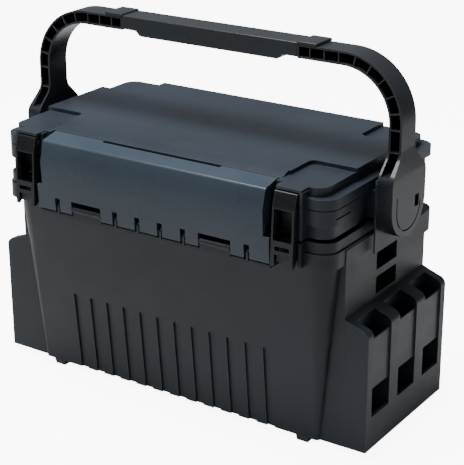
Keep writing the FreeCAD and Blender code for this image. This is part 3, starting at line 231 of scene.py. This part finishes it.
caseLook = {
    "dark": (0.005, 0.007, 0.010), "light": (0.007, 0.010, 0.014), "rubbed": (0.07, 0.08, 0.09),
    "ior": 1.5, "gloss": 0.22, "roughLow": 0.36, "roughHigh": 0.48,
    "cloudScale": 6, "cloudDetail": 4, "cloudSpan": (0.35, 0.7),
    # the edge wear begins and is full where the rounded normal leans this far, as a cosine
    "wear": 0.45, "wearWidth": 0.0012, "wearSamples": 4, "edgeSpan": (0.995, 0.86),
    "patchScale": 90, "patchDetail": 3,
    "smearScale": 26, "smearDetail": 5, "smearRoughness": 0.65, "smearSpan": (0.3, 0.7),
    "grainScale": 1400, "grainDetail": 3, "grain": 0.35, "grainDepth": 0.0002,
}
lidLook = dict(caseLook, dark=(0.008, 0.011, 0.015), light=(0.011, 0.015, 0.021),
               roughLow=0.34, roughHigh=0.46)
flapLook = dict(caseLook, dark=(0.016, 0.023, 0.031), light=(0.022, 0.030, 0.040),
                roughLow=0.24, roughHigh=0.34, grain=0.15)
latchLook = dict(caseLook, dark=(0.004, 0.004, 0.005), light=(0.007, 0.007, 0.008),
                 roughLow=0.22, roughHigh=0.32, grain=0.1)
handleLook = dict(caseLook, dark=(0.006, 0.007, 0.009), light=(0.010, 0.012, 0.014),
                  roughLow=0.24, roughHigh=0.34, grain=0.12)
trayLook = dict(caseLook, dark=(0.03, 0.032, 0.034), light=(0.04, 0.042, 0.045))

finishes = {
    "case_plastic": mouldedPlastic("casePlastic", caseLook),
    "lid_plastic": mouldedPlastic("lidPlastic", lidLook),
    "flap_plastic": mouldedPlastic("flapPlastic", flapLook),
    "latch_plastic": mouldedPlastic("latchPlastic", latchLook),
    "handle_plastic": mouldedPlastic("handlePlastic", handleLook),
    "tray_plastic": mouldedPlastic("trayPlastic", trayLook),
}

speckLook = {
    "metal": 0.0, "speckScale": 300.0, "speckDetail": 4.0, "stretch": (1, 1, 1),
    "toneSpan": (0.3, 0.7), "bump": 0.2, "bumpDepth": 0.0003,
    "smoother": 0.8, "rougher": 1.25,  # shares of the roughness
}
footLook = dict(speckLook, dark=(0.010, 0.010, 0.010), light=(0.022, 0.021, 0.020),
                roughness=0.75, bump=0.5)
pinLook = dict(speckLook, dark=(0.34, 0.34, 0.35), light=(0.52, 0.52, 0.53),
               roughness=0.32, metal=1.0, speckScale=900.0, stretch=(0.05, 1, 1))
dividerLook = dict(speckLook, dark=(0.42, 0.45, 0.46), light=(0.52, 0.55, 0.56),
                   roughness=0.3)


def speckledFinish(name, look):
    material, tree, shader = newMaterial(name)
    shader.inputs["Metallic"].default_value = look["metal"]
    coords = addNode(tree, "ShaderNodeTexCoord")
    mapping = addNode(tree, "ShaderNodeMapping", Scale=look["stretch"])
    link(tree, coords, "Object", mapping, "Vector")
    noise = addNode(tree, "ShaderNodeTexNoise", Scale=look["speckScale"],
                    Detail=look["speckDetail"])
    link(tree, mapping, "Vector", noise, "Vector")
    tone = rampBetween(tree, *look["toneSpan"], look["dark"], look["light"])
    link(tree, noise, "Fac", tone, "Fac")
    link(tree, tone, "Color", shader, "Base Color")
    rough = addNode(tree, "ShaderNodeMapRange")
    setInputs(rough, {"To Min": look["roughness"] * look["smoother"],
                      "To Max": look["roughness"] * look["rougher"]})
    link(tree, noise, "Fac", rough, "Value")
    link(tree, rough, "Result", shader, "Roughness")
    bump = addNode(tree, "ShaderNodeBump", Strength=look["bump"], Distance=look["bumpDepth"])
    link(tree, noise, "Fac", bump, "Height")
    link(tree, bump, "Normal", shader, "Normal")
    return material


finishes["foot_rubber"] = speckledFinish("footRubber", footLook)
finishes["pin_steel"] = speckledFinish("pinSteel", pinLook)
finishes["divider_plastic"] = speckledFinish("dividerPlastic", dividerLook)

nodeSlots = {part["node"]: part["material_slot"] for part in frame["record"]["subparts"]}
for nodeName, node in frame["nodes"].items():
    node.data.materials.clear()
    node.data.materials.append(finishes[nodeSlots[nodeName]])
print("stage: finishes made")

# moulded pieces with softened edges

softening = {
    # node: edge rounding in metres, segments
    "body_case": (0.0007, 2),
    "case_rim": (0.0007, 2),
    "right_end_pockets": (0.0008, 2),
    "left_end_pockets": (0.0008, 2),
    "lid": (0.0007, 2),
    "front_flap": (0.0006, 2),
    "right_latch": (0.0005, 2),
    "left_latch": (0.0005, 2),
    "right_handle_arm": (0.0006, 2),
    "left_handle_arm": (0.0006, 2),
    "handle_grip": (0.0012, 3),
    "right_grip_clip": (0.0008, 2),
    "left_grip_clip": (0.0008, 2),
    "right_handle_bracket": (0.0005, 2),
    "left_handle_bracket": (0.0005, 2),
    "inner_tray": (0.0005, 2),
}
shading = {
    "weld": 2e-6,  # metres between points that are one
    "flat": 0.5,  # degrees under which two faces are one
    "sharp": 28,  # degrees from which an edge is kept sharp and rounded
}
nodeBody = {name: body for body, names in frame["record"]["behaviour"]["bodies"].items()
            for name in names}


def softenPiece(nodeName, width, segments):
    sharp = math.radians(shading["sharp"])
    mesh = frame["nodes"][nodeName].data.copy()
    mesh.name = nodeName + "_moulded"
    bm = bmesh.new()
    bm.from_mesh(mesh)
    bmesh.ops.remove_doubles(bm, verts=bm.verts, dist=shading["weld"])
    bmesh.ops.dissolve_limit(bm, angle_limit=math.radians(shading["flat"]), verts=bm.verts,
                             edges=bm.edges)
    for face in bm.faces:
        face.smooth = True
    for edge in bm.edges:
        edge.smooth = edge.calc_face_angle(0) < sharp
    bm.to_mesh(mesh)
    bm.free()
    piece = bpy.data.objects.new(nodeName + "_moulded", mesh)
    bpy.context.scene.collection.objects.link(piece)
    rounding = piece.modifiers.new("edgeRounding", "BEVEL")
    rounding.width, rounding.segments = width, segments
    rounding.limit_method, rounding.angle_limit = "ANGLE", sharp
    rounding.use_clamp_overlap = True
    rounding.harden_normals = True
    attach(piece, nodeBody[nodeName])
    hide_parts(nodeName)


for nodeName, (width, segments) in softening.items():
    softenPiece(nodeName, width, segments)
print("stage: moulded pieces softened")
